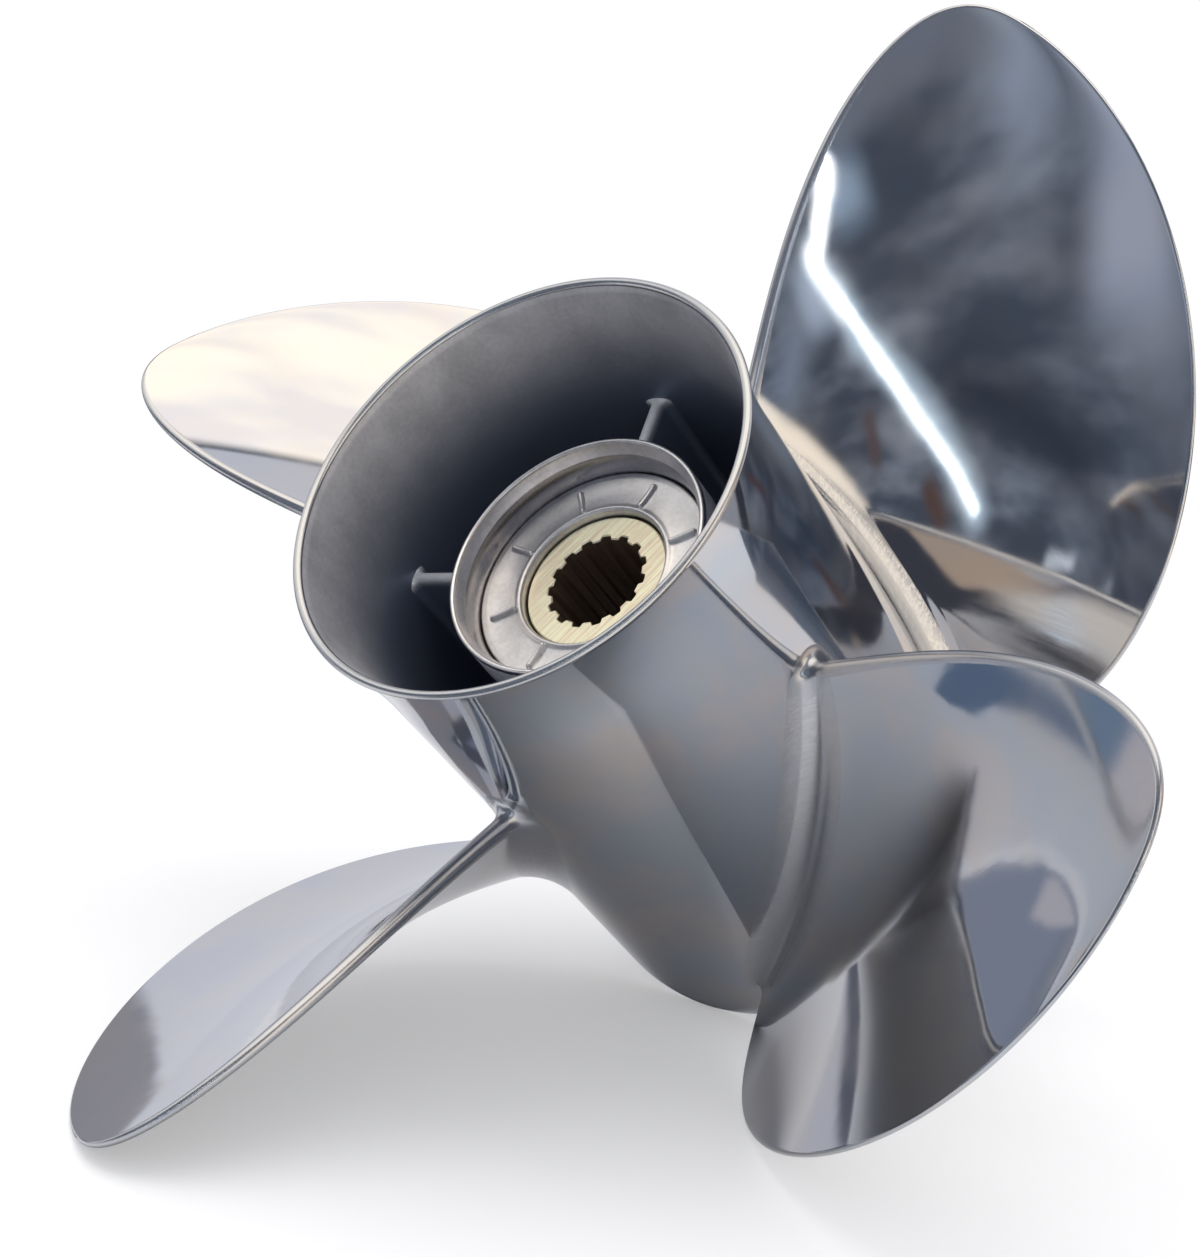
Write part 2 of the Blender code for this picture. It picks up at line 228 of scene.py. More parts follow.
class Wiring:
    """Adds and joins the nodes of one node tree."""

    def __init__(self, tree: bpy.types.NodeTree) -> None:
        """Take the tree that the nodes go into."""
        self.tree = tree

    def add(self, kind: str, **settings: object) -> bpy.types.Node:
        """Add a node.

        Args:
            kind: The node's type.
            settings: Properties to set on it.

        Returns:
            The node.
        """
        node = self.tree.nodes.new(kind)
        for name, value in settings.items():
            setattr(node, name, value)
        return node

    def feed(self, socket: bpy.types.NodeSocket, source: object) -> None:
        """Give a socket either a link or a plain value.

        Args:
            socket: The input to feed.
            source: An output, a plain value, or None to leave it as it is.
        """
        if isinstance(source, bpy.types.NodeSocket):
            self.tree.links.new(source, socket)
        elif source is not None:
            socket.default_value = source

    def maths(self, operation: str, *sources: object, clamp: bool = False) -> bpy.types.NodeSocket:
        """Add a Math node.

        Args:
            operation: What it works out.
            sources: Outputs or plain values for its inputs, in order.
            clamp: Whether the result stays between 0 and 1.

        Returns:
            Its output.
        """
        node = self.add("ShaderNodeMath", operation=operation, use_clamp=clamp)
        for socket, source in zip(node.inputs, sources):
            self.feed(socket, source)
        return node.outputs[0]

    def vector_maths(self, operation: str, *sources: object) -> bpy.types.Node:
        """Add a Vector Math node.

        Args:
            operation: What it works out.
            sources: Outputs or plain values for its inputs, in order.

        Returns:
            The node.
        """
        node = self.add("ShaderNodeVectorMath", operation=operation)
        for socket, source in zip(node.inputs, sources):
            self.feed(socket, source)
        return node

    def noise(
        self, vector: object, scale: float, detail: float = 2.0, roughness: float = 0.5
    ) -> bpy.types.NodeSocket:
        """Add a noise texture.

        Args:
            vector: Where it is read.
            scale: How fine it is.
            detail: Number of finer layers.
            roughness: Share of the finer layers.

        Returns:
            Its factor.
        """
        node = self.add("ShaderNodeTexNoise")
        self.feed(node.inputs["Vector"], vector)
        node.inputs["Scale"].default_value = scale
        node.inputs["Detail"].default_value = detail
        node.inputs["Roughness"].default_value = roughness
        return node.outputs["Fac"]

    def remap(
        self, value: object, low: float, high: float, to_low: object = 0.0, to_high: object = 1.0
    ) -> bpy.types.NodeSocket:
        """Add a clamped, smooth Map Range node.

        Args:
            value: The value to remap.
            low: Value that gives to_low.
            high: Value that gives to_high.
            to_low: Result at low.
            to_high: Result at high.

        Returns:
            Its result.
        """
        node = self.add("ShaderNodeMapRange", interpolation_type="SMOOTHSTEP")
        for name, source in (
            ("Value", value),
            ("From Min", low),
            ("From Max", high),
            ("To Min", to_low),
            ("To Max", to_high),
        ):
            self.feed(node.inputs[name], source)
        return node.outputs["Result"]

    def blend(self, share: object, first: object, second: object) -> bpy.types.NodeSocket:
        """Add a colour mix.

        Args:
            share: Share of the second colour.
            first: The first colour.
            second: The second colour.

        Returns:
            Its result.
        """
        node = self.add("ShaderNodeMix", data_type="RGBA")
        self.feed(node.inputs[0], share)
        self.feed(node.inputs[6], first)
        self.feed(node.inputs[7], second)
        return node.outputs[2]


# Finishes


def polish_group() -> bpy.types.NodeTree:
    """Make the group that gives hand-polished steel its soft waves and its fine clouding.

    Returns:
        A group with the outputs Height, Cloud and Scratch.
    """
    tree = bpy.data.node_groups.new("hand_polish", "ShaderNodeTree")
    face = tree.interface
    face.new_socket("Vector", in_out="INPUT", socket_type="NodeSocketVector")
    for name, value in (("Wave Size", 18.0), ("Cloud Size", 30.0), ("Scratch Size", 1500.0)):
        socket = face.new_socket(name, in_out="INPUT", socket_type="NodeSocketFloat")
        socket.default_value = value
    for name in ("Height", "Cloud", "Scratch"):
        face.new_socket(name, in_out="OUTPUT", socket_type="NodeSocketFloat")
    wires = Wiring(tree)
    given = wires.add("NodeGroupInput").outputs
    result = wires.add("NodeGroupOutput").inputs
    sizes = []
    for name in ("Wave Size", "Cloud Size", "Scratch Size"):
        scaled = wires.add("ShaderNodeVectorMath", operation="SCALE")
        wires.feed(scaled.inputs[0], given["Vector"])
        wires.feed(scaled.inputs[3], given[name])
        sizes.append(scaled.outputs[0])
    fine_share = 0.22
    scratch_stretch = (1.0, 0.07, 1.0)
    broad = wires.noise(sizes[0], scale=1.0, detail=1.0, roughness=0.4)
    fine = wires.noise(sizes[0], scale=6.0, detail=1.0, roughness=0.4)
    fine = wires.maths("MULTIPLY", fine, fine_share)
    wires.feed(result["Height"], wires.maths("ADD", broad, fine))
    wires.feed(result["Cloud"], wires.noise(sizes[1], scale=1.0, detail=4.0, roughness=0.6))
    stretched = wires.vector_maths("MULTIPLY", sizes[2], scratch_stretch).outputs[0]
    wires.feed(result["Scratch"], wires.noise(stretched, scale=1.0, detail=3.0, roughness=0.7))
    return tree


def grain_group() -> bpy.types.NodeTree:
    """Make the group that gives a cast surface its fine grain.

    Returns:
        A group with the outputs Height and Tone.
    """
    tree = bpy.data.node_groups.new("cast_grain", "ShaderNodeTree")
    face = tree.interface
    face.new_socket("Vector", in_out="INPUT", socket_type="NodeSocketVector")
    socket = face.new_socket("Grain Size", in_out="INPUT", socket_type="NodeSocketFloat")
    socket.default_value = 900.0
    for name in ("Height", "Tone"):
        face.new_socket(name, in_out="OUTPUT", socket_type="NodeSocketFloat")
    wires = Wiring(tree)
    given = wires.add("NodeGroupInput").outputs
    result = wires.add("NodeGroupOutput").inputs
    scaled = wires.add("ShaderNodeVectorMath", operation="SCALE")
    wires.feed(scaled.inputs[0], given["Vector"])
    wires.feed(scaled.inputs[3], given["Grain Size"])
    fine_share = 0.35
    fine = wires.noise(scaled.outputs[0], scale=1.0, detail=4.0, roughness=0.65)
    broad = wires.noise(scaled.outputs[0], scale=0.07, detail=3.0, roughness=0.55)
    fine_part = wires.maths("MULTIPLY", fine, fine_share)
    broad_part = wires.maths("MULTIPLY", broad, 1.0 - fine_share)
    wires.feed(result["Height"], fine)
    wires.feed(result["Tone"], wires.maths("ADD", fine_part, broad_part))
    return tree


@dataclass(frozen=True)
class Finish:
    """A metal or rubber finish with its own grain, marks and tone."""

    name: str
    colour: tuple[float, float, float]
    roughness: float
    metallic: float = 1.0

    def start(self) -> tuple[bpy.types.Material, "Wiring", bpy.types.Node]:
        """Make the material with its Principled shader.

        Returns:
            The material, the wiring of its tree and the shader.
        """
        material = bpy.data.materials.new(self.name)
        material.use_nodes = True
        wires = Wiring(material.node_tree)
        shader = material.node_tree.nodes["Principled BSDF"]
        shader.inputs["Base Color"].default_value = (*self.colour, 1.0)
        shader.inputs["Roughness"].default_value = self.roughness
        shader.inputs["Metallic"].default_value = self.metallic
        return material, wires, shader


@dataclass(frozen=True)
class PolishedSteel(Finish):
    """Mirror-polished stainless steel, with soft waves, faint brush marks and ground patches."""

    warm: tuple[float, float, float] = (0.64, 0.63, 0.63)
    wave_height: float = 0.00006
    cloud_roughness: float = 0.05
    ground_colour: tuple[float, float, float] = (0.56, 0.57, 0.60)
    ground_roughness: float = 0.27
    brush_share: float = 0.02
    ground_share: float = 0.13
    ragged_edge: float = 0.6
    ground_range: tuple[float, float] = (0.35, 0.65)
    tone_range: tuple[float, float] = (0.36, 0.66)
    cloud_range: tuple[float, float] = (0.35, 0.70)

    def make(self, polish: bpy.types.NodeTree) -> bpy.types.Material:
        """Make the material.

        Args:
            polish: The hand_polish group.

        Returns:
            The material.
        """
        material, wires, shader = self.start()
        place = wires.add("ShaderNodeAttribute", attribute_name=SHAFT_PLACE).outputs["Vector"]
        share = wires.add("ShaderNodeAttribute", attribute_name=GROUND_SHARE).outputs["Fac"]
        marks = wires.add("ShaderNodeGroup", node_tree=polish)
        wires.feed(marks.inputs["Vector"], place)
        cloud, scratch = marks.outputs["Cloud"], marks.outputs["Scratch"]
        inset = wires.maths("SUBTRACT", share, self.ragged_edge / 2)
        ragged = wires.maths("MULTIPLY_ADD", scratch, self.ragged_edge, inset)
        ground = wires.remap(ragged, *self.ground_range)
        warmth = wires.remap(cloud, *self.tone_range)
        tone = wires.blend(warmth, (*self.colour, 1.0), (*self.warm, 1.0))
        wires.feed(
            shader.inputs["Base Color"], wires.blend(ground, tone, (*self.ground_colour, 1.0))
        )
        highest = self.roughness + self.cloud_roughness
        rough = wires.remap(cloud, *self.cloud_range, self.roughness, highest)
        rough = wires.remap(ground, 0.0, 1.0, rough, self.ground_roughness)
        wires.feed(shader.inputs["Roughness"], rough)
        brush = wires.remap(ground, 0.0, 1.0, self.brush_share, self.ground_share)
        bump = wires.add("ShaderNodeBump")
        bump.inputs["Strength"].default_value = 1.0
        bump.inputs["Distance"].default_value = self.wave_height
        height = wires.maths("MULTIPLY_ADD", scratch, brush, marks.outputs["Height"])
        wires.feed(bump.inputs["Height"], height)
        wires.feed(shader.inputs["Normal"], bump.outputs[0])
        return material


@dataclass(frozen=True)
class CastSteel(Finish):
    """Steel as it leaves the mould: satin, fine grain, soft clouds of tone, and painted shade with
    depth.
    """

    grain_height: float = 0.00005
    grain_strength: float = 0.5
    darkest: float = 0.8
    lightest: float = 1.15
    tone_range: tuple[float, float] = (0.3, 0.7)
    # painted shade: the colour that the surface darkens to deep in the casting
    painted_shade_colour: tuple[float, float, float] = (0.15, 0.18, 0.26)
    fade_from: float = -1.0
    fade_to: float = -1.1

    def make(self, grain: bpy.types.NodeTree) -> bpy.types.Material:
        """Make the material.

        Args:
            grain: The cast_grain group.

        Returns:
            The material.
        """
        material, wires, shader = self.start()
        place = wires.add("ShaderNodeAttribute", attribute_name=SHAFT_PLACE).outputs["Vector"]
        marks = wires.add("ShaderNodeGroup", node_tree=grain)
        wires.feed(marks.inputs["Vector"], place)
        dark = tuple(self.darkest * c for c in self.colour)
        light = tuple(self.lightest * c for c in self.colour)
        tone = wires.remap(marks.outputs["Tone"], *self.tone_range)
        tone = wires.blend(tone, (*dark, 1.0), (*light, 1.0))
        station = wires.add("ShaderNodeSeparateXYZ")
        wires.feed(station.inputs[0], place)
        depth = wires.maths("MULTIPLY", station.outputs[2], -1.0)
        # painted shade: darker with depth forward of the rim, from fade_from to fade_to
        depth_shade = wires.remap(depth, -self.fade_from, -self.fade_to)
        wires.feed(
            shader.inputs["Base Color"], wires.blend(depth_shade, tone, (*self.painted_shade_colour, 1.0))
        )
        bump = wires.add("ShaderNodeBump")
        bump.inputs["Strength"].default_value = self.grain_strength
        bump.inputs["Distance"].default_value = self.grain_height
        wires.feed(bump.inputs["Height"], marks.outputs["Height"])
        wires.feed(shader.inputs["Normal"], bump.outputs[0])
        return material


@dataclass(frozen=True)
class FiledMetal(Finish):
    """Metal with fine straight marks in one direction, from a file or from oil and wear."""

    mark_size: tuple[float, float, float] = (0.0005, 0.014, 0.0005)
    mark_turn_deg: float = -53.0
    mark_height: float = 0.00003
    mark_tone: float = 0.20
    mark_share: float = 0.7
    mark_strength: float = 0.6
    tone_range: tuple[float, float] = (0.36, 0.64)

    def make(self, grain: bpy.types.NodeTree) -> bpy.types.Material:
        """Make the material.

        Args:
            grain: The cast_grain group.

        Returns:
            The material.
        """
        material, wires, shader = self.start()
        place = wires.add("ShaderNodeAttribute", attribute_name=SHAFT_PLACE).outputs["Vector"]
        clouds = wires.add("ShaderNodeGroup", node_tree=grain)
        wires.feed(clouds.inputs["Vector"], place)
        turn = wires.add("ShaderNodeMapping", vector_type="TEXTURE")
        wires.feed(turn.inputs["Vector"], place)
        turn.inputs["Rotation"].default_value = (0.0, 0.0, math.radians(self.mark_turn_deg))
        turn.inputs["Scale"].default_value = self.mark_size
        marks = wires.noise(turn.outputs[0], scale=1.0, detail=3.0, roughness=0.65)
        cloudy = wires.maths("MULTIPLY", clouds.outputs["Tone"], 1.0 - self.mark_share)
        both = wires.maths("MULTIPLY_ADD", marks, self.mark_share, cloudy)
        dark = tuple((1.0 - self.mark_tone) * c for c in self.colour)
        light = tuple(min(1.0, (1.0 + self.mark_tone) * c) for c in self.colour)
        tone = wires.blend(wires.remap(both, *self.tone_range), (*dark, 1.0), (*light, 1.0))
        wires.feed(shader.inputs["Base Color"], tone)
        bump = wires.add("ShaderNodeBump")
        bump.inputs["Strength"].default_value = self.mark_strength
        bump.inputs["Distance"].default_value = self.mark_height
        wires.feed(bump.inputs["Height"], marks)
        wires.feed(shader.inputs["Normal"], bump.outputs[0])
        return material


# Barrel


@dataclass(frozen=True)
class Barrel:
    """The flared exhaust barrel: polished outside, as cast inside."""

    rim_radius: float = 0.05775
    lip_radius: float = 0.0555
    radius: float = 0.0540
    bore: float = 0.0512
    length: float = 0.1580
    outer_flare: float = 0.026
    inner_flare: float = 0.042
    front_radius: float = 0.0523
    front_rounding: float = 0.0090
    front_chamfer: tuple[float, float] = (0.0002, 0.0010)
    rim_step: float = 0.0004
    lip_reach: float = 1.6
    row_gap: float = 0.004
    steps: int = 320

    def outside(self, depth: np.ndarray) -> np.ndarray:
        """Return the outer radius at a depth forward of the rim."""
        part = np.clip(1.0 - depth / self.outer_flare, 0.0, None)
        return self.radius + (self.rim_radius - self.rim_step - self.radius) * part**2

    def inside(self, depth: np.ndarray) -> np.ndarray:
        """Return the inner radius at a depth forward of the rim."""
        part = np.clip(1.0 - depth / self.inner_flare, 0.0, None)
        return self.bore + (self.lip_radius - self.bore) * part**2

    def profile(self) -> tuple[np.ndarray, np.ndarray, np.ndarray]:
        """Lay out the closed profile.

        Returns:
            The points, the finish of the face that starts at each, and the ground share.
        """
        half = (self.rim_radius - self.lip_radius) / 2
        middle = (self.rim_radius + self.lip_radius) / 2
        lip = arc((middle, -half), half, 180, 0, 17)
        flare = np.linspace(half * self.lip_reach, self.outer_flare, 26)
        outside = np.stack([self.outside(flare), -flare], axis=-1)
        start = self.length - self.front_rounding
        tube = np.linspace(self.outer_flare + self.row_gap, start, 40)
        tube = np.stack([np.full_like(tube, self.radius), -tube], axis=-1)
        share = np.linspace(0.1, 1.0, 10)
        drop = (self.radius - self.front_radius) * share**2
        front = np.stack([self.radius - drop, -start - self.front_rounding * share], axis=-1)
        across, deep = self.front_chamfer
        back = np.array([[self.bore + across, -self.length], [self.bore, deep - self.length]])
        bore = np.linspace(self.length - self.row_gap, self.inner_flare, 30)
        bore = np.stack([np.full_like(bore, self.bore), -bore], axis=-1)
        cone = np.linspace(self.inner_flare - self.row_gap / 2, half * self.lip_reach, 30)
        cone = np.stack([self.inside(cone), -cone], axis=-1)
        parts = [lip, outside, tube, front, back, bore, cone]
        finish = [0, 0, 0, 0, 1, 1, 1]
        marks = np.concatenate([np.full(len(p), f) for p, f in zip(parts, finish)])
        ground = np.zeros(len(marks))
        ground[: len(lip)] = 1.0
        return np.concatenate(parts), marks, ground

    def build(self, place: Matrix, finishes: list[bpy.types.Material]) -> bpy.types.Object:
        """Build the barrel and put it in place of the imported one.

        Args:
            place: Matrix from the shaft's frame to the floor's frame.
            finishes: Polished outside, and cast inside.

        Returns:
            The barrel.
        """
        points, marks, ground = self.profile()
        work = Sheetwork("flared_barrel")
        work.grid(turned(points, self.steps), True, True, marks, ground[:, None])
        barrel = work.build(place, finishes)
        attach(barrel, "root")
        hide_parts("barrel")
        return barrel


# Blades


@dataclass(frozen=True)
class Blades:
    """The four raked blades, each laid on cylinders about the shaft, with its root fillet."""

    count: int = 4
    tip_radius: float = 0.17055
    rim_radius: float = 0.05775
    root_radius: float = 0.0540
    pitch: float = 0.5135
    pitch_growth: float = 0.208
    pitch_radius: float = 0.100
    rake: float = 0.338
    face_station: float = -0.1513
    tip_angle_deg: float = 45.0
    trailing_sweep_deg: tuple[float, ...] = (32.3, -46.8, 71.0, -58.2, 12.3)
    leading_sweep_deg: tuple[float, ...] = (-44.6, -35.0, 32.6, -59.3, 56.8)
    root_thickness: float = 0.0085
    tip_thickness: float = 0.0022
    leading_thickness: float = 0.0017
    trailing_thickness: float = 0.0046
    thinning: float = 0.75
    fullness: float = 0.8
    hollow: float = 0.0018
    hollow_growth: float = 1.2
    fillet: float = 0.0090
    end_fillet_share: float = 0.5
    patch_length: float = 0.0110
    patch_height: float = 0.0100
    patch_fade: float = 0.5
    band_reach: float = 1.7
    band_fade: float = 0.6
    fillet_satin: float = 0.52
    satin_fade: float = 0.4
    outline_rise: float = 0.012
    mark_shift: float = 1.0
    fillet_rows: int = 22
    rows: int = 110
    chord_points: int = 97
    outline_points: int = 1600

    def edge_angle(self, sweep: tuple[float, ...], place: np.ndarray) -> np.ndarray:
        """Return an edge's angle in radians, where place runs from 0 at the tip to 1 at the hub."""
        degrees = sum(c * place ** (power + 1) for power, c in enumerate(sweep))
        return np.radians(self.tip_angle_deg + degrees)

    def pitch_at(self, radius: np.ndarray) -> np.ndarray:
        """Return the pitch of the driving face."""
        return self.pitch + self.pitch_growth * (radius - self.pitch_radius)

    def radii(self) -> np.ndarray:
        """Space the rows.

        Returns:
            Radii of the rows, from the barrel's wall to the tip.
        """
        turn = np.linspace(0.0, math.pi / 2, self.fillet_rows)
        low = self.root_radius + self.fillet * (1 - np.cos(turn))
        start = math.sqrt((self.tip_radius - low[-1]) / (self.tip_radius - self.rim_radius))
        place = np.linspace(start, 0.0, self.rows)[1:]
        high = self.tip_radius - (self.tip_radius - self.rim_radius) * place**2
        return np.concatenate([low, high])

    def fillet_offset(self, height: np.ndarray, fillet: np.ndarray) -> np.ndarray:
        """Return how far a fillet stands out at a height above the barrel."""
        reach = np.clip(fillet - height, 0.0, None)
        return fillet - np.sqrt(np.maximum(fillet**2 - reach**2, 0.0))

    def thickness(self, radius: np.ndarray, chord: np.ndarray) -> np.ndarray:
        """Work out the thickness of the sections.

        Args:
            radius: Radius of each row.
            chord: Place along the section, from 0 at the leading edge to 1.

        Returns:
            Thickness at each point.
        """
        span = np.clip((radius - self.root_radius) / (self.tip_radius - self.root_radius), 0, 1)
        middle = self.root_thickness + (self.tip_thickness - self.root_thickness) * span**self.thinning
        trailing = self.trailing_thickness + (self.tip_thickness - self.trailing_thickness) * span
        ends = self.leading_thickness + (trailing - self.leading_thickness) * chord
        swell = (4 * chord * (1 - chord)) ** self.fullness
        return ends + np.maximum(0.0, middle - ends) * swell

    def laid(
        self, radius: np.ndarray, along: np.ndarray, offset: np.ndarray, place: np.ndarray
    ) -> np.ndarray:
        """Lay points on their cylinders.

        Args:
            radius: Radius of each point.
            along: Distance from the leading edge along the section.
            offset: Distance aft of the driving face, square to the section.
            place: Place between tip and hub that the edges' sweep is given for.

        Returns:
            Points in the shaft's frame.
        """
        leading = self.edge_angle(self.leading_sweep_deg, place)
        pitch = self.pitch_at(radius)
        slope = np.arctan2(pitch / math.tau, radius)
        angle = leading + along * np.cos(slope) / radius
        station = self.face_station + self.rake * radius + pitch * angle / math.tau
        turn = angle - offset * np.sin(slope) / radius
        aft = station + offset * np.cos(slope)
        return np.stack([radius * np.cos(turn), radius * np.sin(turn), aft], axis=-1)

    def surfaces(self) -> tuple[np.ndarray, np.ndarray]:
        """Lay out one blade.

        Returns:
            Array of (rows, points round the section, 3), from the root to the tip, and the
            share of each point that is only ground: the trailing edge and its root.
        """
        radius = self.radii()[:, None]
        place = np.sqrt(
            np.maximum(0.0, (self.tip_radius - radius) / (self.tip_radius - self.rim_radius))
        )
        height = radius - self.root_radius
        leading = self.edge_angle(self.leading_sweep_deg, place)
        trailing = self.edge_angle(self.trailing_sweep_deg, place)
        slope = np.arctan2(self.pitch_at(radius) / math.tau, radius)
        length = radius * (trailing - leading) / np.cos(slope)
        end_size = np.full_like(height, self.fillet * self.end_fillet_share)
        end_fillet = self.fillet_offset(height, end_size)
        share = 0.5 - 0.5 * np.cos(np.linspace(0, math.pi, self.chord_points))[None, :]
        along = share * (length + 2 * end_fillet) - end_fillet
        chord = np.clip(along / np.maximum(length, 1e-9), 0.0, 1.0)
        bulge = 4 * chord * (1 - chord)
        size = self.fillet * (self.end_fillet_share + (1 - self.end_fillet_share) * np.sqrt(bulge))
        swell = self.fillet_offset(height, size)
        thick = self.thickness(radius, chord)
        hollow = self.hollow * np.minimum(1.0, place * self.hollow_growth) * bulge
        half = (thick - hollow) / 2
        middle = -(thick + hollow) / 2
        distance = self.edge_distance(radius, along, length, end_fillet, place)
        width = half + end_fillet
        inward = np.clip(1 - distance / np.maximum(width, 1e-9), 0.0, 1.0)
        half = (half + swell) * np.sqrt(np.maximum(0.0, 1 - inward**2))
        face = self.laid(radius, along, middle + half, place)
        back = self.laid(radius, along, middle - half, place)
        trail = length + end_fillet - along
        widths = trail / np.maximum(width, 1e-9)
        band = smooth_step((self.band_reach - widths) / self.band_fade)
        reach = np.hypot(trail / self.patch_length, height / self.patch_height)
        patch = smooth_step((1.0 - reach) / self.patch_fade)
        satin = self.fillet_satin * smooth_step((1.0 - height / self.fillet) / self.satin_fade)
        ground = np.maximum(np.maximum(band, patch), satin)
        return (
            np.concatenate([face, back[:, -2:0:-1]], axis=1),
            np.concatenate([ground, ground[:, -2:0:-1]], axis=1),
        )

    def edge_distance(
        self,
        radius: np.ndarray,
        along: np.ndarray,
        length: np.ndarray,
        end_fillet: np.ndarray,
        place: np.ndarray,
    ) -> np.ndarray:
        """Measure each point's distance from the blade's outline.

        Args:
            radius: Radius of each row.
            along: Distance from the leading edge along the section.
            length: Length of each section.
            end_fillet: How far the root's fillet stands out at the section's ends.
            place: Place between tip and hub that the edges' sweep is given for.

        Returns:
            Distance of each point.
        """
        chordwise = np.minimum(along + end_fillet, length + end_fillet - along)
        flat = self.laid(radius, along, np.zeros_like(along), place)
        fine_place = np.linspace(0.0, 1.0, self.outline_points) * place[self.fillet_rows - 1, 0]
        fine_radius = self.tip_radius - (self.tip_radius - self.rim_radius) * fine_place**2
        edges = []
        for sweep in (self.leading_sweep_deg, self.trailing_sweep_deg):
            angle = self.edge_angle(sweep, fine_place)
            station = self.face_station + self.rake * fine_radius
            station = station + self.pitch_at(fine_radius) * angle / math.tau
            edges.append(
                np.stack([fine_radius * np.cos(angle), fine_radius * np.sin(angle), station], -1)
            )
        outline = np.concatenate(edges)
        outward = np.empty_like(chordwise)
        for row in range(len(flat)):
            gaps = flat[row][:, None, :] - outline[None, :, :]
            outward[row] = np.sqrt((gaps**2).sum(-1).min(1))
        outward[:, 0] = 0.0
        outward[:, -1] = 0.0
        rise = smooth_step((radius - self.root_radius - self.fillet) / self.outline_rise)
        return chordwise + (np.minimum(outward, chordwise) - chordwise) * rise

    def build(self, place: Matrix, finishes: list[bpy.types.Material]) -> list[bpy.types.Object]:
        """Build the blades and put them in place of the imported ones.

        Args:
            place: Matrix from the shaft's frame to the floor's frame.
            finishes: The one finish of the blades.

        Returns:
            The blades, from the first to the last.
        """
        surface, ground = self.surfaces()
        blades = []
        for i in range(self.count):
            turn = np.array(Matrix.Rotation(-math.tau * i / self.count, 3, "Z"))
            work = Sheetwork(f"polished_blade_{i + 1}")
            marked_at = surface + np.array([self.mark_shift * i, 0.0, 0.0])
            work.grid(surface @ turn.T, False, True, 0, ground, marked_at)
            blade = work.build(place, finishes)
            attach(blade, "root")
            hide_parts(f"blade_{i + 1}")
            blades.append(blade)
        return blades


# Hub, webs, end ring and bush


@dataclass(frozen=True)
class HubTube:
    """The inner hub: a machined mouth with a rounded lip, and a collar at the hidden end."""

    radius: float = 0.0329
    mouth: float = 0.0316
    aft: float = -0.0290
    front: float = -0.1500
    wall_radius: float = 0.0297
    bore: float = 0.0287
    collar_bore: float = 0.0220
    collar_depth: float = 0.0320
    seat: float = -0.0384
    steps: int = 256

    def profile(self) -> tuple[np.ndarray, np.ndarray]:
        """Lay out the closed profile.

        Returns:
            The points, and the finish of the face that starts at each.
        """
        half = (self.radius - self.mouth) / 2
        middle = (self.radius + self.mouth) / 2
        lip = arc((middle, self.aft - half), half, 180, 0, 15)
        outside = np.linspace(self.aft - 0.0015, self.front + 0.0020, 30)
        outside = np.stack([np.full_like(outside, self.radius), outside], axis=-1)
        rest = np.array(
            [
                (self.radius - 0.0005, self.front + 0.0006),
                (self.radius - 0.0015, self.front),
                (self.collar_bore + 0.0020, self.front),
                (self.collar_bore + 0.0006, self.front + 0.0010),
                (self.collar_bore, self.front + 0.0030),
                (self.collar_bore, self.front + self.collar_depth),
                (self.bore, self.front + self.collar_depth + 0.0010),
                (self.bore, self.seat - 0.0040),
                (self.wall_radius, self.seat - 0.0030),
                (self.wall_radius, self.seat - 0.0010),
                (self.wall_radius + 0.0002, self.seat + 0.0010),
                (self.mouth - 0.0012, self.aft - 0.0034),
                (self.mouth - 0.0010, self.aft - 0.0031),
                (self.mouth - 0.0001, self.aft - 0.0010),
            ]
        )
        inside = [0] * 9 + [2, 2, 0, 0, 0]
        marks = np.array([0] * len(lip) + [1] * len(outside) + inside)
        return np.concatenate([lip, outside, rest]), marks

    def build(self, place: Matrix, finishes: list[bpy.types.Material]) -> bpy.types.Object:
        """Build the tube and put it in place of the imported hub.

        Args:
            place: Matrix from the shaft's frame to the floor's frame.
            finishes: Machined lip, cast outside, and bored wall inside the mouth.

        Returns:
            The tube.
        """
        points, marks = self.profile()
        work = Sheetwork("hub_tube")
        work.grid(turned(points, self.steps), closed_rows=True, closed_columns=True, finish=marks)
        tube = work.build(place, finishes, sharp_deg=30)
        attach(tube, "root")
        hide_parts("inner_hub")
        return tube


